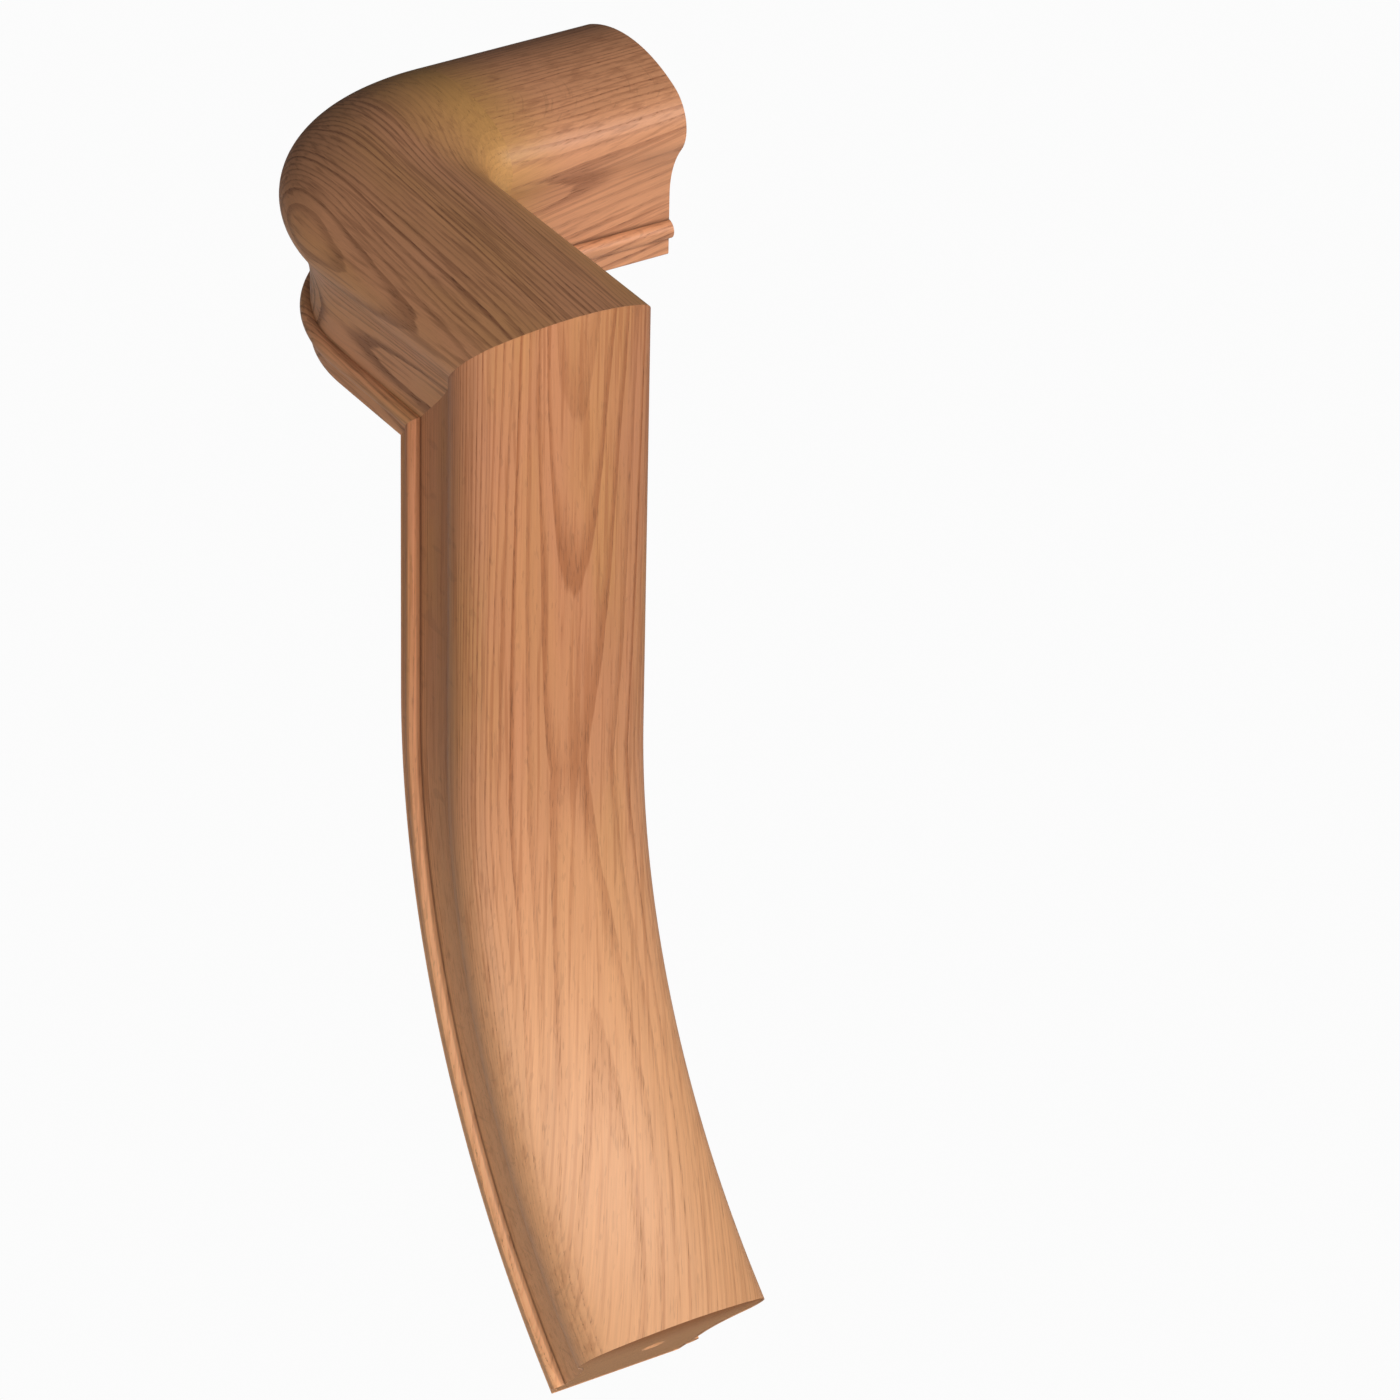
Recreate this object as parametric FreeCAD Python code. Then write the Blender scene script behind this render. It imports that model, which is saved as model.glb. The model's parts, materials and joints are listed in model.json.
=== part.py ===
import FreeCAD, Part
import math
import os

# Moulded rail section, in millimetres
rail_width = 60.3
rail_height = 60.3
neck_inset = 8.5
base_edge_radius = 0.8
base_fillet_height = 5.8
bead_radius = 2.9
cove_radius = 28.0
shoulder_radius = 12.0
crown_rise = 4.1

# Easing leg, from the mitre down to the raking end; the rake is in degrees from level
plumb_length = 82.5
easing_radius = 257.0
rake_angle = 43.0
rake_length = 6.2

# Level run, quarter turn and level arm
run_length = 33.7
turn_inside_radius = 11.35
arm_length = 57.9

# Pilot hole for a rail bolt in each end
bolt_hole_diameter = 6.4
bolt_hole_depth = 50.0

# Dowels across the two glued joints
dowel_diameter = 9.5
dowel_length = 38.0
dowel_chamfer = 1.0
mitre_dowel_spacing = 24.0
arm_dowel_spacing = 20.0
arm_dowel_lift = 8.0
glue_gap = 0.1
dowel_end_gap = 1.0

# Sizes that follow from these
half_width = rail_width / 2
half_neck = half_width - neck_inset
mid_height = rail_height / 2
turn_radius = half_width + turn_inside_radius
quarter_turn_angle = 90.0
easing_angle = 90.0 - rake_angle
right_angle = math.radians(90.0)

# Directions, and the reference points of the bends, seen from the inner corner of the mitre
RIGHT = FreeCAD.Vector(1, 0, 0)
BACK = FreeCAD.Vector(0, 1, 0)
UP = FreeCAD.Vector(0, 0, 1)
rake_slope = math.radians(rake_angle)
rake_out = FreeCAD.Vector(0, -math.cos(rake_slope), -math.sin(rake_slope))
easing_centre = FreeCAD.Vector(0, -easing_radius, -plumb_length)
turn_centre = FreeCAD.Vector(turn_radius, run_length, 0)
turn_end = FreeCAD.Vector(turn_radius, run_length + turn_radius, 0)


def arc(centre, radius, start, end):
    """Arc in the section plane from one angle to another."""
    def point(angle):
        return FreeCAD.Vector(centre[0] + radius * math.cos(angle), centre[1] + radius * math.sin(angle), 0)
    return Part.Arc(point(start), point((start + end) / 2), point(end)).toShape()


def line(start, end):
    """Straight edge in the section plane."""
    return Part.LineSegment(FreeCAD.Vector(*start, 0), FreeCAD.Vector(*end, 0)).toShape()


def rail_section():
    """Face of the moulded rail: width along X, height along Y, the middle of its base at the origin."""
    eased = half_neck - base_edge_radius
    bead_middle = base_fillet_height + bead_radius
    shoulder_x = half_width - shoulder_radius
    shoulder_y = rail_height - crown_rise - shoulder_radius

    # The cove leaves the neck upright and runs smoothly into the shoulder
    cove_x = half_neck + cove_radius
    cove_to_shoulder = cove_radius + shoulder_radius
    cove_y = shoulder_y - math.sqrt(cove_to_shoulder ** 2 - (cove_x - shoulder_x) ** 2)
    cove_end = math.atan2(shoulder_y - cove_y, shoulder_x - cove_x)

    # The crown joins both shoulders smoothly at the full height of the rail
    crown_height = crown_rise + shoulder_radius
    crown_radius = (shoulder_x ** 2 + crown_height ** 2 - shoulder_radius ** 2) / (2 * crown_rise)
    crown_y = rail_height - crown_radius
    crown_end = math.atan2(shoulder_y - crown_y, shoulder_x)

    right_side = [
        arc((eased, base_edge_radius), base_edge_radius, -right_angle, 0),
        line((half_neck, base_edge_radius), (half_neck, base_fillet_height)),
        arc((half_neck, bead_middle), bead_radius, -right_angle, right_angle),
        line((half_neck, bead_middle + bead_radius), (half_neck, cove_y)),
        arc((cove_x, cove_y), cove_radius, 2 * right_angle, cove_end),
        arc((shoulder_x, shoulder_y), shoulder_radius, cove_end - 2 * right_angle, crown_end),
    ]
    left_side = [edge.mirror(FreeCAD.Vector(), RIGHT) for edge in right_side]
    base = line((-eased, 0), (eased, 0))
    crown = arc((0, crown_y), crown_radius, crown_end, 2 * right_angle - crown_end)
    return Part.Face(Part.Wire(Part.__sortEdges__(right_side + left_side + [base, crown])))


def placed_section(position, across, upward):
    """Rail section with the middle of its base at a point, and its width and height along two directions."""
    face = rail_section()
    face.Placement = FreeCAD.Placement(position, FreeCAD.Rotation(across, upward, across.cross(upward), "XYZ"))
    return face


def mitre_wedge():
    """Space on the level side of the mitre, which halves the corner between the leg and the level run."""
    reach = 2 * rail_height + run_length
    corners = [(reach, -reach), (-reach, reach), (reach, reach), (reach, -reach)]
    outline = [FreeCAD.Vector(-rail_width, y, z) for y, z in corners]
    return Part.Face(Part.makePolygon(outline)).extrude(RIGHT * 2 * rail_width)


def easing_leg_block():
    """Plumb rail with its crown to the front, eased forward into the short raking end."""
    plumb = placed_section(UP * rail_height, RIGHT, -BACK).extrude(-UP * (rail_height + plumb_length))
    easing_start = placed_section(-UP * plumb_length, RIGHT, -BACK)
    easing = easing_start.revolve(easing_centre, -RIGHT, easing_angle)
    rake_start = easing_start.rotated(easing_centre, -RIGHT, easing_angle)
    rake = rake_start.extrude(rake_out * rake_length)
    return plumb.cut(mitre_wedge()).multiFuse([easing, rake]).removeSplitter()


def quarter_turn_block():
    """Level run back from the mitre, then a quarter turn to the right."""
    run = placed_section(-BACK * rail_height, RIGHT, UP).extrude(BACK * (rail_height + run_length))
    turn = placed_section(BACK * run_length, RIGHT, UP).revolve(turn_centre, -UP, quarter_turn_angle)
    return run.common(mitre_wedge()).fuse(turn).removeSplitter()


def level_arm_block():
    """Straight level rail from the end of the turn."""
    return placed_section(turn_end, -BACK, UP).extrude(RIGHT * arm_length)


def bolt_hole(mouth, outward):
    """Pilot hole drilled straight into an end."""
    return Part.makeCylinder(bolt_hole_diameter / 2, bolt_hole_depth, mouth, -outward)


def dowel_pair(joint_middle, along, across, spacing, gap, end_gap):
    """Two cylinders across a joint: the dowels themselves with no gaps, or their holes with them."""
    length = dowel_length + 2 * end_gap
    starts = [joint_middle + across * (side * spacing / 2) - along * (length / 2) for side in (-1, 1)]
    return [Part.makeCylinder(dowel_diameter / 2 + gap, length, start, along) for start in starts]


def chamfered(dowel):
    """Dowel with both rims chamfered."""
    rims = [edge for edge in dowel.Edges if isinstance(edge.Curve, Part.Circle)]
    return dowel.makeChamfer(dowel_chamfer, rims)


# The bolt holes and the mitre dowels are at the middle of the rail's height
easing_turn = FreeCAD.Rotation(-RIGHT, easing_angle)
easing_end = easing_centre + easing_turn.multVec(BACK * (easing_radius - mid_height))
rake_mouth = easing_end + rake_out * rake_length
arm_mouth = turn_end + RIGHT * arm_length + UP * mid_height

mitre_joint = ((UP - BACK) * mid_height, (UP + BACK).normalize(), RIGHT, mitre_dowel_spacing)
arm_joint = (turn_end + UP * (mid_height + arm_dowel_lift), RIGHT, BACK, arm_dowel_spacing)
mitre_holes = dowel_pair(*mitre_joint, glue_gap, dowel_end_gap)
arm_holes = dowel_pair(*arm_joint, glue_gap, dowel_end_gap)

# A pilot hole that is longer than the level arm runs on into the turn
rake_bolt_hole = bolt_hole(rake_mouth, rake_out)
arm_bolt_hole = bolt_hole(arm_mouth, RIGHT)

pieces = {
    "easing_leg": easing_leg_block().cut(mitre_holes + [rake_bolt_hole]),
    "quarter_turn": quarter_turn_block().cut(mitre_holes + arm_holes + [arm_bolt_hole]),
    "level_arm": level_arm_block().cut(arm_holes + [arm_bolt_hole]),
    "mitre_dowels": Part.makeCompound([chamfered(dowel) for dowel in dowel_pair(*mitre_joint, 0, 0)]),
    "arm_dowels": Part.makeCompound([chamfered(dowel) for dowel in dowel_pair(*arm_joint, 0, 0)]),
}

# The origin is the mouth of the pilot hole in the raking end, where the fitting meets the rail below
os.makedirs("parts", exist_ok=True)
for name, piece in pieces.items():
    piece.translated(-rake_mouth).exportStep(f"parts/{name}.step")
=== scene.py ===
import json
import math

import bmesh
import bpy
from mathutils import Euler, Matrix, Vector


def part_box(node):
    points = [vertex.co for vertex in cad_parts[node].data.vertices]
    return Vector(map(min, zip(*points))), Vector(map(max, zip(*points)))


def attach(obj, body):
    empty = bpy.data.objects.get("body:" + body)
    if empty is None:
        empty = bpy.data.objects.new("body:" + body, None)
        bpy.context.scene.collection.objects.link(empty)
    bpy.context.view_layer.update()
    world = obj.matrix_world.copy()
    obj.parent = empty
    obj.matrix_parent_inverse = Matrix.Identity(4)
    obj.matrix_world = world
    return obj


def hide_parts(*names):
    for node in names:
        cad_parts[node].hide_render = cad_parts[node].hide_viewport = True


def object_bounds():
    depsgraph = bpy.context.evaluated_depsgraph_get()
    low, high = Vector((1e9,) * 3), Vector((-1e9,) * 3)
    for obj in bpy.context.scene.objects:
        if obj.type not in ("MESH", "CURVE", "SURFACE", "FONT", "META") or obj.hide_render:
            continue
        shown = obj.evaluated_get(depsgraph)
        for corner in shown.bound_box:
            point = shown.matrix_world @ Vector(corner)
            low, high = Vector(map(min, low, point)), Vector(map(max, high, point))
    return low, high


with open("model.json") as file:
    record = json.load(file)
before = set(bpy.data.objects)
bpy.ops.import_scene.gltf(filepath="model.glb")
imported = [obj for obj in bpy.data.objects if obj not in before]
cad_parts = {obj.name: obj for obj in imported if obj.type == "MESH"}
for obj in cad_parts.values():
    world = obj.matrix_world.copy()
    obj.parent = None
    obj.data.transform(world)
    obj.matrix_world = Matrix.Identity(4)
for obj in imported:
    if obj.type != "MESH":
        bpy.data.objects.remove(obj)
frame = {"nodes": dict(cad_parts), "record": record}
cad_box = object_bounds()

# Easing leg
# The upright block of red oak: a moulded rail that stands plumb under the mitre and is eased forward
# to meet the raking rail. It is sawn from one plank, run to the rail's section and sanded by hand.

RIGHT = Vector((1, 0, 0))
BACK = Vector((0, 1, 0))
UP = Vector((0, 0, 1))
right_angle = math.radians(90)
mm_per_metre = 1000.0

leg_low, leg_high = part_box("easing_leg")
arm_low, arm_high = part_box("level_arm")
mounts = {mount["name"]: mount for mount in frame["record"]["mounts"]}
rail_width = arm_high.y - arm_low.y
rail_height = arm_high.z - arm_low.z
mitre_corner = Vector((0, leg_high.y, arm_low.z))
mitre_normal = (UP + BACK).normalized()
rake_out = Vector(mounts["rake_end_bore"]["axis"])
rake_length = 0.0062
easing_radius = 0.257
easing_angle = math.acos(-rake_out.z)
easing_drop = math.sin(easing_angle) * (easing_radius - rail_height / 2)
plumb_length = mitre_corner.z - easing_drop + rake_out.z * rake_length
easing_start = mitre_corner - UP * plumb_length

# Each end's and joint's arris gets painted shade, a joint's also a dark glue line, fading over a band behind
# it
arris = 0.0003
shade_band = 0.0025
end_shade = 0.9
joint_shade = 1.0


def rail_outline(mesh, centre, across, upward):
    """Draws the closed outline of the moulded rail and sets it with the middle of its base at a point."""
    neck_inset = 0.0085
    base_edge_radius = 0.0008
    base_fillet_height = 0.0058
    bead_radius = 0.0029
    cove_radius = 0.0280
    shoulder_radius = 0.0120
    crown_rise = 0.0041
    fade_band = 0.0012
    touching = 1e-6

    half_neck = rail_width / 2 - neck_inset
    eased = half_neck - base_edge_radius
    bead_top = base_fillet_height + 2 * bead_radius
    pale_low = bead_top - 0.8 * bead_radius
    pale_high = bead_top - 0.1 * bead_radius
    shoulder = Vector((rail_width / 2 - shoulder_radius, rail_height - crown_rise - shoulder_radius, 0))
    cove_x = half_neck + cove_radius
    cove_drop = math.sqrt((cove_radius + shoulder_radius) ** 2 - (cove_x - shoulder.x) ** 2)
    cove_y = shoulder.y - cove_drop
    cove_turn = math.atan2(cove_drop, cove_x - shoulder.x)
    crown_height = crown_rise + shoulder_radius
    crown_radius = (shoulder.x ** 2 + crown_height ** 2 - shoulder_radius ** 2) / (2 * crown_rise)
    crown_y = rail_height - crown_radius
    crown_turn = math.atan2(shoulder.x, shoulder.y - crown_y)

    def straight(pen, x, y):
        grown = bmesh.ops.extrude_vert_indiv(mesh, verts=[pen])["verts"][0]
        grown.co = (x, y, 0)
        return grown

    def curve(pen, x, y, angle, steps):
        spun = bmesh.ops.spin(mesh, geom=[pen], cent=(x, y, 0), axis=UP, angle=angle, steps=steps)
        return next(part for part in spun["geom_last"] if isinstance(part, bmesh.types.BMVert))

    # One side is drawn from the middle of the base to the top of the crown
    # The groove layer holds painted shade, and the next layer holds wear and painted light
    groove = mesh.verts.layers.float.new("groove")
    wear_and_painted_light = mesh.verts.layers.float.new("wear_and_painted_light")
    pen = bmesh.ops.create_vert(mesh, co=(0, 0, 0))["vert"][0]
    pen = straight(pen, eased - fade_band, 0)
    base_edge = straight(pen, eased, 0)
    base_side = curve(base_edge, eased, base_edge_radius, right_angle, steps=3)
    pen = straight(base_side, half_neck, base_edge_radius + fade_band)
    pen = straight(pen, half_neck, base_fillet_height - fade_band)
    lower_groove = straight(pen, half_neck, base_fillet_height)
    upper_groove = curve(lower_groove, half_neck, base_fillet_height + bead_radius, 2 * right_angle, steps=18)
    pen = straight(upper_groove, half_neck, bead_top + fade_band)
    pen = straight(pen, half_neck, cove_y)
    pen = curve(pen, cove_x, cove_y, -cove_turn, steps=10)
    pen = curve(pen, shoulder.x, shoulder.y, right_angle + cove_turn - crown_turn, steps=18)
    curve(pen, 0, crown_y, crown_turn, steps=16)

    # The bead's grooves get painted shade, the eased edge wear, and the bead's upper side painted light
    lower_groove[groove] = 1
    upper_groove[groove] = 1
    base_edge[wear_and_painted_light] = 1
    base_side[wear_and_painted_light] = 1
    for corner in mesh.verts:
        if corner.co.x > half_neck and pale_low < corner.co.y < pale_high:
            corner[wear_and_painted_light] = 1

    bmesh.ops.mirror(mesh, geom=mesh.verts[:] + mesh.edges[:], axis="X", merge_dist=touching)
    turned = Matrix((across, upward, across.cross(upward))).transposed().to_4x4()
    bmesh.ops.transform(mesh, matrix=Matrix.Translation(centre) @ turned, verts=mesh.verts)
    return mesh.edges[:]


def run_on(mesh, loop, travel):
    """Carries the outline straight on and gives its new edges."""
    grown = bmesh.ops.extrude_edge_only(mesh, edges=loop)["geom"]
    corners = [part for part in grown if isinstance(part, bmesh.types.BMVert)]
    bmesh.ops.translate(mesh, verts=corners, vec=travel)
    return [part for part in grown if isinstance(part, bmesh.types.BMEdge)]


def bend_on(mesh, loop, centre, axis, angle, steps):
    """Carries the outline round a bend and gives its new edges."""
    corners = list({corner for edge in loop for corner in edge.verts})
    spun = bmesh.ops.spin(mesh, geom=corners + loop, cent=centre, axis=axis, angle=angle, steps=steps)
    return [part for part in spun["geom_last"] if isinstance(part, bmesh.types.BMEdge)]


def mitre_off(mesh, spare_side):
    """Marks off the shaded band, saws the block along the mitre and gives the edges of the cut."""
    everything = mesh.verts[:] + mesh.edges[:] + mesh.faces[:]
    bmesh.ops.bisect_plane(mesh, geom=everything, plane_no=spare_side, clear_outer=False,
                           plane_co=mitre_corner - spare_side * shade_band)
    everything = mesh.verts[:] + mesh.edges[:] + mesh.faces[:]
    cut = bmesh.ops.bisect_plane(mesh, geom=everything, plane_no=spare_side, clear_outer=True,
                                 plane_co=mitre_corner)
    return [part for part in cut["geom_cut"] if isinstance(part, bmesh.types.BMEdge)]


def close_end(mesh, loop, inward, shade):
    """Closes an end with a flat face whose arris is taken off, and paints shade on the arris as on a groove.
    """
    face = bmesh.ops.contextual_create(mesh, geom=loop)["faces"][0]
    rim = face.verts[:]
    bmesh.ops.inset_region(mesh, faces=[face], thickness=arris, use_even_offset=True)
    bmesh.ops.translate(mesh, verts=rim, vec=inward * arris)
    groove = mesh.verts.layers.float.get("groove")
    for corner in rim + face.verts[:]:
        corner[groove] = shade

    # A second inset keeps painted shade, wear and painted light off the flat face
    bmesh.ops.inset_region(mesh, faces=[face], thickness=arris, use_even_offset=True)
    for corner in face.verts:
        for layer in mesh.verts.layers.float.values():
            corner[layer] = 0
    return face


def bore_end(mesh, face, mount):
    """Drills the pilot hole of a rail bolt into an end face, with a small countersink."""
    countersink = 0.0004
    mouth = Vector(mount["pos_m"])
    outward = Vector(mount["axis"])
    radius = mount["dims"]["r_mm"] / mm_per_metre
    depth = mount["dims"]["length_mm"] / mm_per_metre
    rim = face.edges[:]
    bmesh.ops.delete(mesh, geom=[face], context="FACES_ONLY")
    turned = Matrix.Translation(mouth) @ outward.to_track_quat("Z", "Y").to_matrix().to_4x4()
    circle = bmesh.ops.create_circle(mesh, segments=40, radius=radius + countersink, matrix=turned)["verts"]
    hole = list({edge for corner in circle for edge in corner.link_edges})
    bmesh.ops.triangle_fill(mesh, edges=rim + hole, use_beauty=True)
    hole = run_on(mesh, hole, -outward * countersink)
    throat = list({corner for edge in hole for corner in edge.verts})
    bmesh.ops.scale(mesh, verts=throat, vec=Vector.Fill(3, radius / (radius + countersink)),
                    space=Matrix.Translation(outward * countersink - mouth))
    hole = run_on(mesh, hole, -outward * (depth - countersink))
    bmesh.ops.contextual_create(mesh, geom=hole)


def finished_block(mesh, name, material):
    """Makes the block an object with smooth mouldings and crisp edges."""
    crisp_angle = math.radians(32)
    bmesh.ops.recalc_face_normals(mesh, faces=mesh.faces)
    for face in mesh.faces:
        face.smooth = True
    data = bpy.data.meshes.new(name)
    mesh.to_mesh(data)
    mesh.free()
    data.set_sharp_from_angle(angle=crisp_angle)
    data.materials.append(material)
    block = bpy.data.objects.new(name, data)
    bpy.context.scene.collection.objects.link(block)
    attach(block, "root")
    return block


def put(tree, kind, inputs=(), **settings):
    """Adds a shader node with its settings and with values or links on its inputs."""
    made = tree.nodes.new(kind)
    for name, value in settings.items():
        setattr(made, name, value)
    for name, value in dict(inputs).items():
        if isinstance(value, bpy.types.NodeSocket):
            tree.links.new(value, made.inputs[name])
        else:
            made.inputs[name].default_value = value
    return made


def sums(tree, operation, *terms):
    """A Math node's result."""
    return put(tree, "ShaderNodeMath", dict(enumerate(terms)), operation=operation).outputs[0]


def along(tree, vector, axis):
    """How far a vector goes along an axis."""
    return put(tree, "ShaderNodeVectorMath", {0: vector, 1: axis}, operation="DOT_PRODUCT").outputs["Value"]


def length(tree, vector):
    """A vector's length."""
    return put(tree, "ShaderNodeVectorMath", {0: vector}, operation="LENGTH").outputs["Value"]


def in_millimetres(tree, place):
    """A place given in metres, in millimetres."""
    return put(tree, "ShaderNodeVectorMath", {0: place, "Scale": mm_per_metre}, operation="SCALE").outputs[0]


def ramped(tree, value, low, high, bottom=0.0, top=1.0):
    """A value taken smoothly from one range to another."""
    made = put(tree, "ShaderNodeMapRange", {"Value": value, "From Min": low, "From Max": high,
                                            "To Min": bottom, "To Max": top}, interpolation_type="SMOOTHSTEP")
    return made.outputs["Result"]


def mixed(tree, factor, first, second, blend="MIX"):
    """Two colours mixed by a factor: inputs 6 and 7 of a Mix node, and its output 2."""
    made = put(tree, "ShaderNodeMix", {0: factor, 6: first, 7: second}, data_type="RGBA", blend_type=blend)
    return made.outputs[2]


def streaks(tree, place, size, detail=2.0, roughness=0.5):
    """Noise whose cells have the given width, depth and length in millimetres."""
    shrink = [1 / side for side in size]
    scaled = put(tree, "ShaderNodeVectorMath", {0: place, 1: shrink}, operation="MULTIPLY")
    made = put(tree, "ShaderNodeTexNoise", {"Vector": scaled.outputs[0], "Scale": 1.0, "Detail": detail,
                                            "Roughness": roughness})
    return made.outputs["Fac"]


def oak_grain_group():
    """Grain of a red oak log, in millimetres from its heart: rings, pores, rays and fibres."""
    # Width, depth and length of each kind of mark, and the levels of noise between which it comes in
    slow_wave = (26, 26, 170)
    quick_wave = (6, 6, 60)
    streak = (1.5, 1.5, 60.0)
    streak_limits = (0.50, 0.66)
    pore = (0.33, 0.33, 7.0)
    pore_limits = (0.54, 0.66)
    ray = (0.5, 22.0, 4.5)
    ray_limits = (0.63, 0.72)
    fibre = (0.7, 0.7, 36.0)
    patch = (16.0, 16.0, 80.0)

    # Waves in the growth, uneven widths of the rings, and the shares of a year that are spring wood
    noise_mean = 0.5
    slow_swing = 6.0
    quick_swing = 1.2
    width_spell = 9.0
    width_swing = 3.0
    spring_starts = (0.0, 0.06)
    spring_ends = (0.12, 0.50)
    weakest_spring = 0.35
    spring_pores = 0.85
    other_pores = 0.1
    usual_radius = 200.0

    tree = bpy.data.node_groups.new("red_oak_grain", "ShaderNodeTree")
    for name, kind in (("Log Place", "NodeSocketVector"), ("Ring Width", "NodeSocketFloat"),
                       ("Figure", "NodeSocketFloat")):
        tree.interface.new_socket(name, in_out="INPUT", socket_type=kind)
    for name in ("Spring Wood", "Ring Tone", "Streaks", "Pores", "Rays", "Fibres", "Patches"):
        tree.interface.new_socket(name, in_out="OUTPUT", socket_type="NodeSocketFloat")
    given = tree.nodes.new("NodeGroupInput").outputs
    place = given["Log Place"]
    axes = put(tree, "ShaderNodeSeparateXYZ", {0: place}).outputs

    # Rings round the heart, bent by slow and quick waves in the growth
    radius = length(tree, put(tree, "ShaderNodeCombineXYZ", {"X": axes["X"], "Y": axes["Y"]}).outputs[0])
    slow = sums(tree, "SUBTRACT", streaks(tree, place, slow_wave, detail=1.0), noise_mean)
    quick = sums(tree, "SUBTRACT", streaks(tree, place, quick_wave, detail=3.0), noise_mean)
    wave = sums(tree, "MULTIPLY_ADD", quick, quick_swing, sums(tree, "MULTIPLY", slow, slow_swing))
    grown = sums(tree, "MULTIPLY_ADD", wave, given["Figure"], radius)
    spells = sums(tree, "DIVIDE", grown, width_spell)
    uneven = put(tree, "ShaderNodeTexNoise", {"W": spells, "Scale": 1.0, "Detail": 1.0},
                 noise_dimensions="1D").outputs["Fac"]
    years = sums(tree, "DIVIDE", sums(tree, "MULTIPLY_ADD", uneven, width_swing, grown), given["Ring Width"])

    # Each year starts with spring wood, which is stronger in some rings than in others
    season = sums(tree, "FRACT", years)
    ring_tone = put(tree, "ShaderNodeTexWhiteNoise", {"W": sums(tree, "FLOOR", years)},
                    noise_dimensions="1D").outputs["Value"]
    started = ramped(tree, season, *spring_starts)
    lasting = ramped(tree, season, *spring_ends, bottom=1.0, top=0.0)
    spring = sums(tree, "MULTIPLY", started, lasting)
    spring = sums(tree, "MULTIPLY", spring, ramped(tree, ring_tone, 0.0, 1.0, bottom=weakest_spring))

    # Brown streaks and rows of pores in the spring wood, long along the log
    brown = ramped(tree, streaks(tree, place, streak, roughness=0.55), *streak_limits)
    open_pores = ramped(tree, streaks(tree, place, pore, roughness=0.6), *pore_limits)
    pores = sums(tree, "MULTIPLY", open_pores, sums(tree, "MULTIPLY_ADD", spring, spring_pores, other_pores))

    # Rays run out from the heart as thin upright sheets
    arc = sums(tree, "MULTIPLY", sums(tree, "ARCTAN2", axes["Y"], axes["X"]), usual_radius)
    sheet = put(tree, "ShaderNodeCombineXYZ", {"X": arc, "Y": radius, "Z": axes["Z"]}).outputs[0]
    rays = ramped(tree, streaks(tree, sheet, ray, detail=1.0), *ray_limits)
    fibres = streaks(tree, place, fibre, detail=4.0, roughness=0.65)
    patches = streaks(tree, place, patch)

    put(tree, "NodeGroupOutput", {
        "Spring Wood": spring, "Ring Tone": ring_tone, "Streaks": brown, "Pores": pores,
        "Rays": rays, "Fibres": fibres, "Patches": patches})
    return tree


oak_grain = oak_grain_group()


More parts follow.
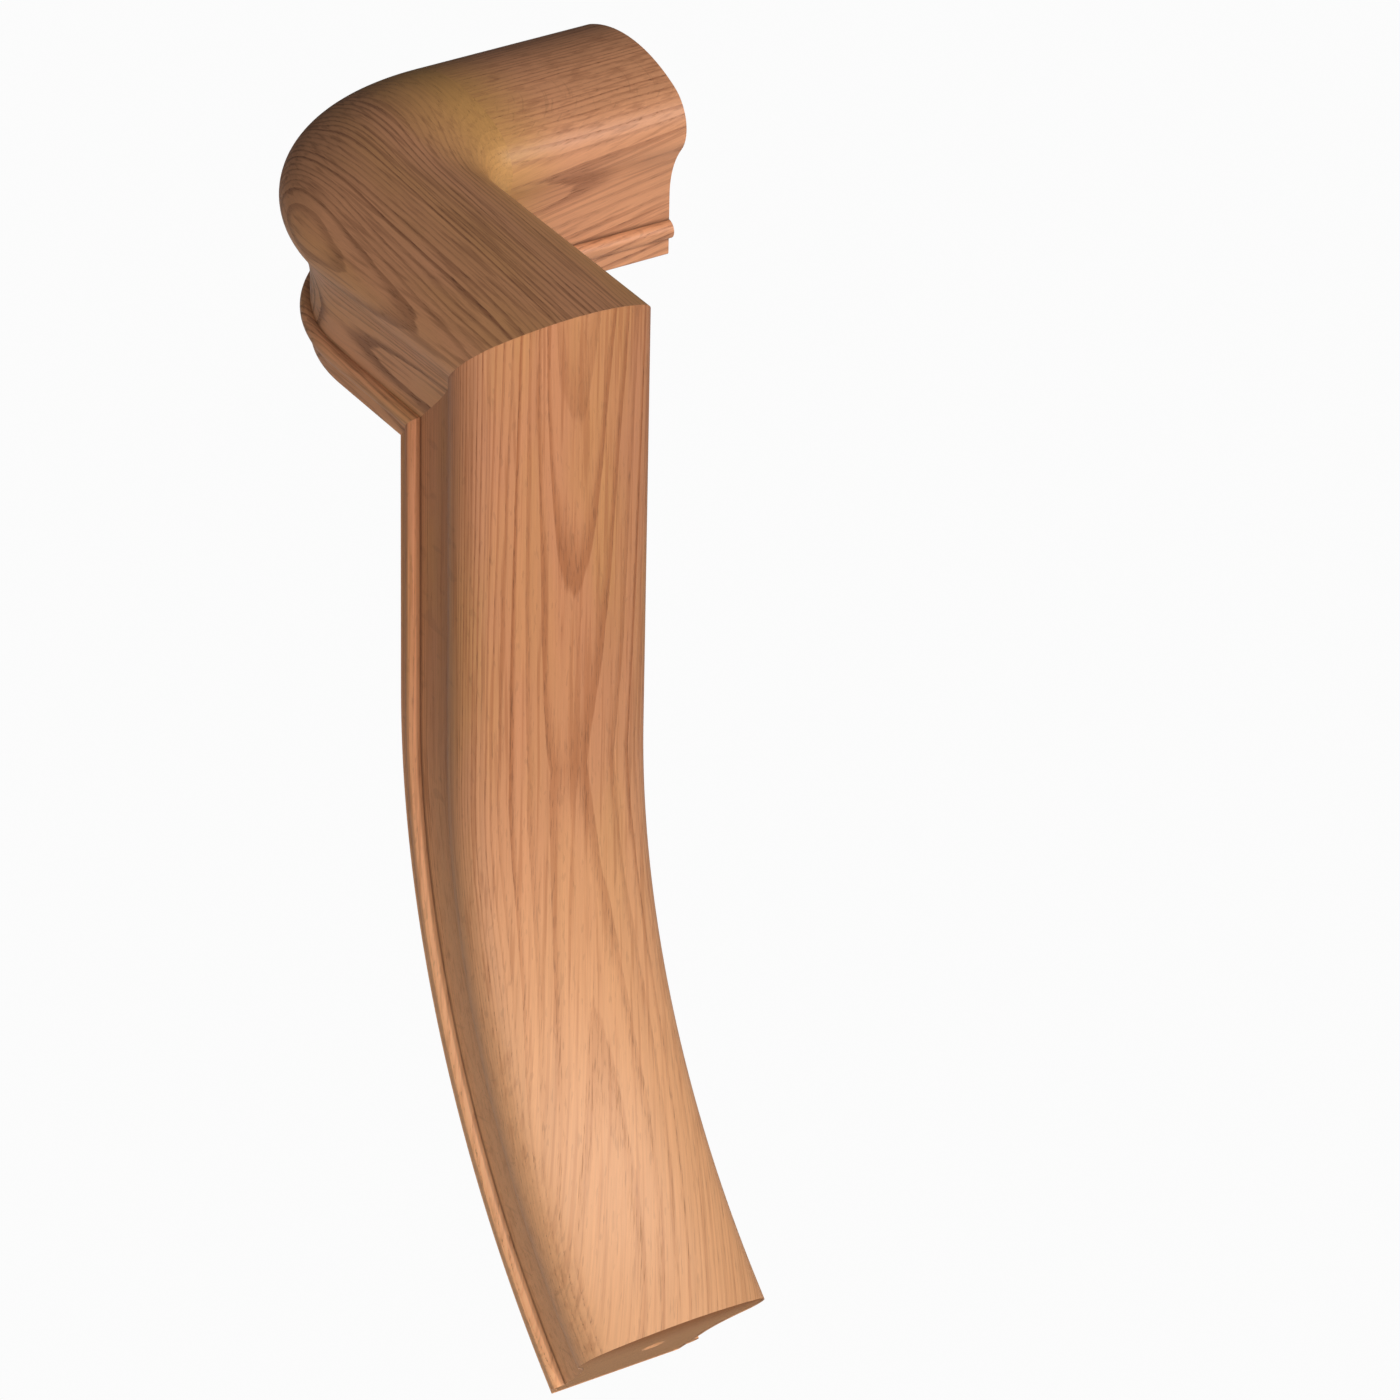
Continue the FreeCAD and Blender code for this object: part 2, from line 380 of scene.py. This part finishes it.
def oak_material(name, place_of, ring_width, figure, summer, spring, gold,
                 far_axis, far_reach, far_tint, near_lines, far_lines, edge_wear_and_painted_bead_light, groove_dark,
                 end_axis, end_rise, end_reach, end_base, end_crown):
    """Sanded red oak. place_of gives the place in the log, in millimetres, from Object coordinates.

    The far tint comes in along far_axis, between the two distances of far_reach, and the grain's lines go
    there from near_lines to far_lines in strength. The eased edge is paler with wear and the bead's upper
    side with painted light, both by edge_wear_and_painted_bead_light, and grooves and arrises are darker with
    painted shade, the joints' arrises also with a dark glue line, by groove_dark. Faces square to end_axis
    show end grain, whose tint goes from end_base to end_crown along end_rise, between the two distances of
    end_reach.
    """
    patch_limits = (0.35, 0.68)
    streak_share = 0.55
    end_limits = (0.78, 0.98)
    end_ring_shade = (0.50, 0.45, 0.40, 1)
    plain_tone = 0.80
    fibre_tone = 0.34
    ring_tone = 0.06
    pore_dark = 0.42
    ray_dark = 0.12
    fibre_relief = 0.35
    pore_depth = 0.00012
    satin = 0.38
    fibre_rough = 0.16
    pore_rough = 0.25
    end_rough = 0.38

    material = bpy.data.materials.new(name)
    material.use_nodes = True
    tree = material.node_tree
    tree.nodes.clear()
    spot = put(tree, "ShaderNodeTexCoord").outputs
    place = place_of(tree, spot["Object"])
    seen = put(tree, "ShaderNodeGroup", {"Log Place": place, "Ring Width": ring_width, "Figure": figure},
               node_tree=oak_grain).outputs

    # Summer wood with golden patches and the far tint, then the streaks and lines of spring wood
    colour = mixed(tree, ramped(tree, seen["Patches"], *patch_limits), summer, gold)
    far = ramped(tree, along(tree, spot["Object"], far_axis), *far_reach)
    colour = mixed(tree, far, colour, far_tint)
    lines = sums(tree, "MULTIPLY_ADD", far, far_lines - near_lines, near_lines)
    brown = sums(tree, "MULTIPLY", seen["Streaks"], sums(tree, "MULTIPLY", lines, streak_share))
    colour = mixed(tree, brown, colour, spring)
    rings = sums(tree, "MULTIPLY", seen["Spring Wood"], sums(tree, "MULTIPLY", lines, lines))
    colour = mixed(tree, rings, colour, spring)

    # End grain, with the rings darker than the wood between them
    end_grain = ramped(tree, along(tree, spot["Normal"], end_axis), *end_limits)
    rise = ramped(tree, along(tree, spot["Object"], end_rise), *end_reach)
    end_colour = mixed(tree, rise, end_base, end_crown)
    end_colour = mixed(tree, seen["Spring Wood"], end_colour, end_ring_shade, "MULTIPLY")
    colour = mixed(tree, end_grain, colour, end_colour)

    # Light and dark of fibres, rings, pores and rays; wear on the eased edge and painted light on the bead;
    # painted shade in grooves and arrises, and a dark glue line at the joints
    wear_and_painted_light = put(tree, "ShaderNodeAttribute", attribute_name="wear_and_painted_light").outputs["Fac"]
    groove = put(tree, "ShaderNodeAttribute", attribute_name="groove").outputs["Fac"]
    tone = sums(tree, "MULTIPLY_ADD", seen["Fibres"], fibre_tone, plain_tone)
    tone = sums(tree, "MULTIPLY_ADD", seen["Ring Tone"], ring_tone, tone)
    for mark, change in ((seen["Pores"], -pore_dark), (seen["Rays"], -ray_dark), (wear_and_painted_light, edge_wear_and_painted_bead_light),
                         (groove, -groove_dark)):
        tone = sums(tree, "MULTIPLY", tone, sums(tree, "MULTIPLY_ADD", mark, change, 1.0))
    shade = put(tree, "ShaderNodeCombineXYZ", {"X": tone, "Y": tone, "Z": tone}).outputs[0]
    colour = mixed(tree, 1.0, colour, shade, "MULTIPLY")

    # A satin surface with open pores, and rougher ends
    fibres = sums(tree, "MULTIPLY", seen["Fibres"], fibre_relief)
    relief = sums(tree, "SUBTRACT", fibres, seen["Pores"])
    bump = put(tree, "ShaderNodeBump", {"Strength": 0.5, "Distance": pore_depth, "Height": relief})
    rough = sums(tree, "MULTIPLY_ADD", seen["Fibres"], fibre_rough, satin)
    rough = sums(tree, "MULTIPLY_ADD", seen["Pores"], pore_rough, rough)
    rough = sums(tree, "MULTIPLY_ADD", end_grain, end_rough, rough)
    skin = put(tree, "ShaderNodeBsdfPrincipled", {"Base Color": colour, "Roughness": rough,
                                                  "Specular IOR Level": 0.45, "Normal": bump.outputs[0]})
    put(tree, "ShaderNodeOutputMaterial", {"Surface": skin.outputs[0]})
    return material


def leg_log(tree, spot):
    """The leg's log: its heart lies behind the base, and its grain sweeps forward with the easing.

    The rings lean, so that the crown cuts them to a flame that points down on the plumb leg and up on the
    foot. At the left of the plumb leg they lean a little the other way. Along the easing the middle of the
    flame wanders off the middle of the crown.
    """
    heart = mitre_corner + Vector((0.001, 0.2400, 0))
    crown_radius = 0.054
    lean = 0.015
    foot_lean = 0.0115
    left_lean = 0.021
    left_side = (-0.021, -0.006)
    sideways = 0.58
    crest_shift = 0.010
    crest_reach = 0.130

    # How far the easing has swept a place forward
    moved = put(tree, "ShaderNodeVectorMath", {0: spot, 1: heart}, operation="SUBTRACT").outputs[0]
    axes = put(tree, "ShaderNodeSeparateXYZ", {0: moved}).outputs
    below = sums(tree, "MAXIMUM", sums(tree, "SUBTRACT", easing_start.z - heart.z, axes["Z"]), 0.0)
    behind_centre = sums(tree, "ADD", axes["Y"], easing_radius + heart.y - easing_start.y)
    bend = length(tree, put(tree, "ShaderNodeCombineXYZ", {"X": behind_centre, "Y": below}).outputs[0])
    swept = sums(tree, "SUBTRACT", bend, behind_centre)
    forward = sums(tree, "ADD", axes["Y"], swept)

    # The lean of the rings on the plumb leg, on the foot and at the left
    upright = sums(tree, "ADD", axes["Z"], below)
    leaned = sums(tree, "MULTIPLY_ADD", upright, -lean, forward)
    leaned = sums(tree, "MULTIPLY_ADD", below, -foot_lean, leaned)
    above = sums(tree, "ADD", upright, heart.z - easing_start.z)
    left_turn = ramped(tree, axes["X"], *left_side, bottom=left_lean, top=0.0)
    leaned = sums(tree, "MULTIPLY_ADD", above, left_turn, leaned)

    # The rings are cut as if the crest of the crown had moved
    aside = sums(tree, "MULTIPLY_ADD", swept, sideways, axes["X"])
    from_crest = sums(tree, "SUBTRACT", aside, ramped(tree, below, 0.0, crest_reach, top=crest_shift))
    twist = sums(tree, "SUBTRACT", sums(tree, "POWER", from_crest, 2.0), sums(tree, "POWER", axes["X"], 2.0))
    leaned = sums(tree, "MULTIPLY_ADD", twist, 0.5 / crown_radius, leaned)
    joined = put(tree, "ShaderNodeCombineXYZ", {"X": aside, "Y": leaned, "Z": axes["Z"]}).outputs[0]
    return in_millimetres(tree, joined)


# The leg turns paler towards its foot, from one distance below the mitre's inner corner to another
pale_from = 0.03 - mitre_corner.z
pale_to = 0.21 - mitre_corner.z
leg_oak = oak_material(
    "leg_oak", leg_log, ring_width=0.9, figure=0.3,
    summer=(0.503, 0.206, 0.093, 1), spring=(0.345, 0.117, 0.039, 1), gold=(0.505, 0.223, 0.083, 1),
    far_axis=-UP, far_reach=(pale_from, pale_to), far_tint=(0.70, 0.350, 0.166, 1),
    near_lines=1.0, far_lines=0.45, edge_wear_and_painted_bead_light=0.5, groove_dark=0.6,
    end_axis=rake_out, end_rise=rake_out.cross(RIGHT), end_reach=(0.0, rail_height / 2),
    end_base=(0.55, 0.265, 0.108, 1), end_crown=(0.36, 0.115, 0.018, 1))

leg = bmesh.new()
loop = rail_outline(leg, mitre_corner + UP * rail_height, RIGHT, -BACK)
loop = run_on(leg, loop, -UP * (rail_height + plumb_length))
loop = bend_on(leg, loop, easing_start - BACK * easing_radius, -RIGHT, easing_angle, steps=48)
loop = run_on(leg, loop, rake_out * (rake_length - shade_band))
loop = run_on(leg, loop, rake_out * shade_band)
bore_end(leg, close_end(leg, loop, -rake_out, end_shade), mounts["rake_end_bore"])
close_end(leg, mitre_off(leg, mitre_normal), -UP, joint_shade)
leg_block = finished_block(leg, "easing_leg_block", leg_oak)
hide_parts("easing_leg")

# Quarter turn
# The corner block of the same oak: a short level run back from the mitre, then a quarter turn to the right.
# Its grain runs straight back, so the outside of the turn cuts across it. It is glued to the leg.

turn_radius = arm_low.x
turn_end = Vector((turn_radius, (arm_low.y + arm_high.y) / 2, mitre_corner.z))
turn_centre = turn_end - BACK * turn_radius
turn_middle = (arm_low.z + arm_high.z) / 2
run_length = turn_centre.y - mitre_corner.y


def straight_log(tree, spot, heart, turned):
    """The place in a straight log, in millimetres from a point in its heart, with the log turned upright."""
    made = put(tree, "ShaderNodeMapping", {
        "Location": turned @ heart * -mm_per_metre, "Rotation": turned.to_euler(),
        "Scale": Vector.Fill(3, mm_per_metre), "Vector": spot})
    return made.outputs[0]


def turn_log(tree, spot):
    """The turn's log lies nearly level, with its heart on the right."""
    heart = mitre_corner + Vector((0.040, 0.0, 0.028))
    dip = 0.03
    swing = 0.04
    return straight_log(tree, spot, heart, Euler((dip - right_angle, swing, 0)).to_matrix())


turn_oak = oak_material(
    "turn_oak", turn_log, ring_width=1.5, figure=1.2,
    summer=(0.61, 0.28, 0.14, 1), spring=(0.27, 0.11, 0.05, 1), gold=(0.58, 0.275, 0.118, 1),
    far_axis=RIGHT, far_reach=(0.010, 0.038), far_tint=(0.60, 0.305, 0.10, 1),
    near_lines=0.92, far_lines=0.3, edge_wear_and_painted_bead_light=0.2, groove_dark=0.25,
    end_axis=BACK, end_rise=UP, end_reach=(turn_middle, arm_high.z),
    end_base=(0.44, 0.205, 0.095, 1), end_crown=(0.38, 0.175, 0.085, 1))

turn = bmesh.new()
loop = rail_outline(turn, mitre_corner - BACK * rail_height, RIGHT, UP)
loop = run_on(turn, loop, BACK * (rail_height + run_length))
loop = bend_on(turn, loop, turn_centre, -UP, right_angle, steps=44)
close_end(turn, loop, -RIGHT, joint_shade)
close_end(turn, mitre_off(turn, -mitre_normal), BACK, joint_shade)
turn_block = finished_block(turn, "quarter_turn_block", turn_oak)
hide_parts("quarter_turn")

# Level arm
# The straight oak block after the turn, glued to its end, with the grain along its own length.
# A level rail is bolted and glued to its square-cut end.

arm_length = arm_high.x - arm_low.x


def arm_log(tree, spot):
    """The arm's log lies nearly level and across, with its heart high behind the arm."""
    heart = turn_end + Vector((0.0, 0.060, 0.070))
    dip = 0.2
    swing = 0.05
    turned = Matrix.Rotation(dip - right_angle, 3, "Y") @ Matrix.Rotation(swing, 3, "Z")
    return straight_log(tree, spot, heart, turned)


arm_oak = oak_material(
    "arm_oak", arm_log, ring_width=1.9, figure=1.0,
    summer=(0.60, 0.30, 0.105, 1), spring=(0.38, 0.15, 0.07, 1), gold=(0.57, 0.29, 0.095, 1),
    far_axis=RIGHT, far_reach=(turn_radius - 0.004, turn_radius + 0.022), far_tint=(0.68, 0.31, 0.155, 1),
    near_lines=0.5, far_lines=0.87, edge_wear_and_painted_bead_light=0.15, groove_dark=0.6,
    end_axis=RIGHT, end_rise=UP, end_reach=(turn_middle, arm_high.z),
    end_base=(0.66, 0.32, 0.135, 1), end_crown=(0.54, 0.225, 0.075, 1))

arm = bmesh.new()
joint_loop = rail_outline(arm, turn_end, -BACK, UP)
loop = run_on(arm, joint_loop, RIGHT * shade_band)
loop = run_on(arm, loop, RIGHT * (arm_length - 2 * shade_band))
loop = run_on(arm, loop, RIGHT * shade_band)
bore_end(arm, close_end(arm, loop, -RIGHT, end_shade), mounts["level_end_bore"])
close_end(arm, joint_loop, RIGHT, joint_shade)
arm_block = finished_block(arm, "level_arm_block", arm_oak)
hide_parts("level_arm")

# Dowels
# Two pairs of turned birch dowels, with chamfered rims, glued across the mitre and the joint at the arm.
# They stand in blind holes inside the blocks, so nothing of them shows.


def dowel_material():
    """Pale, close-grained birch with fine fibres."""
    pale_birch = (0.66, 0.46, 0.26, 1)
    deep_birch = (0.58, 0.37, 0.19, 1)
    fibre_brown = (0.44, 0.27, 0.13, 1)
    fibre = (0.5, 0.5, 0.5)
    fibre_limits = (0.45, 0.75)
    fibre_share = 0.6
    fibre_depth = 0.0001
    cloud = (9.0, 9.0, 9.0)
    cloud_limits = (0.3, 0.7)
    plain_rough = 0.5
    fibre_rough = 0.2

    material = bpy.data.materials.new("dowel_wood")
    material.use_nodes = True
    tree = material.node_tree
    tree.nodes.clear()
    place = in_millimetres(tree, put(tree, "ShaderNodeTexCoord").outputs["Object"])
    fibres = streaks(tree, place, fibre, detail=3.0, roughness=0.6)
    clouds = streaks(tree, place, cloud)
    colour = mixed(tree, ramped(tree, clouds, *cloud_limits), pale_birch, deep_birch)
    colour = mixed(tree, ramped(tree, fibres, *fibre_limits, top=fibre_share), colour, fibre_brown)
    bump = put(tree, "ShaderNodeBump", {"Strength": 0.4, "Distance": fibre_depth, "Height": fibres})
    rough = sums(tree, "MULTIPLY_ADD", fibres, fibre_rough, plain_rough)
    skin = put(tree, "ShaderNodeBsdfPrincipled", {"Base Color": colour, "Roughness": rough,
                                                  "Normal": bump.outputs[0]})
    put(tree, "ShaderNodeOutputMaterial", {"Surface": skin.outputs[0]})
    return material


dowel_wood = dowel_material()
for dowels in ("mitre_dowels", "arm_dowels"):
    frame["nodes"][dowels].data.materials.clear()
    frame["nodes"][dowels].data.materials.append(dowel_wood)

# Floor and light
# A plain studio floor well below the held fitting, which the camera sees as an even white. A broad soft
# light stands in front, a weaker one at the left, and a weak, low one behind lightens the back.

floor_drop = 0.30
floor_radius = 30.0
floor_mesh = bmesh.new()
bmesh.ops.create_circle(floor_mesh, segments=96, radius=floor_radius, cap_ends=True,
                        matrix=Matrix.Translation((0, 0, leg_low.z - floor_drop)))
floor_data = bpy.data.meshes.new("floor")
floor_mesh.to_mesh(floor_data)
floor_mesh.free()
floor = bpy.data.objects.new("floor", floor_data)
bpy.context.scene.collection.objects.link(floor)

# The floor can be looked through from below
paint = bpy.data.materials.new("floor_paint")
paint.use_nodes = True
tree = paint.node_tree
tree.nodes.clear()
sheet = put(tree, "ShaderNodeBsdfDiffuse", {"Color": (0.6, 0.6, 0.6, 1)})
glow = put(tree, "ShaderNodeEmission", {"Color": (1, 1, 1, 1), "Strength": 0.97})
seen_by_camera = put(tree, "ShaderNodeLightPath").outputs["Is Camera Ray"]
lit = put(tree, "ShaderNodeMixShader", {0: seen_by_camera, 1: sheet.outputs[0], 2: glow.outputs[0]})
clear = put(tree, "ShaderNodeBsdfTransparent")
under = put(tree, "ShaderNodeNewGeometry").outputs["Backfacing"]
whole = put(tree, "ShaderNodeMixShader", {0: under, 1: lit.outputs[0], 2: clear.outputs[0]})
put(tree, "ShaderNodeOutputMaterial", {"Surface": whole.outputs[0]})
floor_data.materials.append(paint)

world = bpy.data.worlds.new("studio")
world.use_nodes = True
tree = world.node_tree
tree.nodes.clear()
dim = put(tree, "ShaderNodeBackground", {"Color": (1, 1, 1, 1), "Strength": 0.08})
white = put(tree, "ShaderNodeBackground", {"Color": (1, 1, 1, 1), "Strength": 1.0})
seen_by_camera = put(tree, "ShaderNodeLightPath").outputs["Is Camera Ray"]
sky = put(tree, "ShaderNodeMixShader", {0: seen_by_camera, 1: dim.outputs[0], 2: white.outputs[0]})
put(tree, "ShaderNodeOutputWorld", {"Surface": sky.outputs[0]})
bpy.context.scene.world = world
bpy.context.scene.view_settings.view_transform = "Standard"


def soft_box(name, azimuth, elevation, distance, width, height, power):
    """An area light aimed at the fitting, so many degrees right of its front and so many up."""
    middle = (cad_box[0] + cad_box[1]) / 2
    turned = Euler((math.radians(90 - elevation), 0, math.radians(azimuth))).to_matrix()
    data = bpy.data.lights.new(name, "AREA")
    data.shape = "RECTANGLE"
    data.size = width
    data.size_y = height
    data.energy = power
    light = bpy.data.objects.new(name, data)
    light.matrix_world = Matrix.Translation(middle + turned @ Vector((0, 0, distance))) @ turned.to_4x4()
    light.visible_camera = False
    bpy.context.scene.collection.objects.link(light)
    return light


soft_box("front_light", azimuth=4, elevation=29, distance=2.5, width=4.0, height=1.0, power=75)
soft_box("side_light", azimuth=-56, elevation=4, distance=1.5, width=0.9, height=0.9, power=5.8)
back_light = soft_box("back_light", azimuth=165, elevation=-15, distance=1.2, width=1.2, height=0.5,
                      power=3.0)
back_light.visible_glossy = False

# Camera
# It looks down on the fitting from the front left, as far off and as large as in the photograph.
# A point in the leg, in front of the mitre's inner corner, is set at its own place in the picture.

photo_side = 1400
photo_azimuth = -32.6
photo_elevation = 31.27
photo_roll = 1.25
point_forward = 0.030
point_pixel = Vector((521.8, 462.6))
pixels_per_metre = 3617.0
camera_distance = 2.183

aim = Euler((math.radians(90 - photo_elevation), 0, math.radians(photo_azimuth))).to_matrix()
aim = aim @ Matrix.Rotation(math.radians(photo_roll), 3, "Z")
point = mitre_corner - BACK * point_forward
right_of_centre = (point_pixel.x - photo_side / 2) / pixels_per_metre
above_centre = (photo_side / 2 - point_pixel.y) / pixels_per_metre
camera_place = point - aim @ Vector((right_of_centre, above_centre, -camera_distance))
camera_data = bpy.data.cameras.new("camera")
camera_data.lens = camera_data.sensor_width * pixels_per_metre * camera_distance / photo_side
camera = bpy.data.objects.new("camera", camera_data)
camera.matrix_world = Matrix.Translation(camera_place) @ aim.to_4x4()
bpy.context.scene.collection.objects.link(camera)
bpy.context.scene.camera = camera
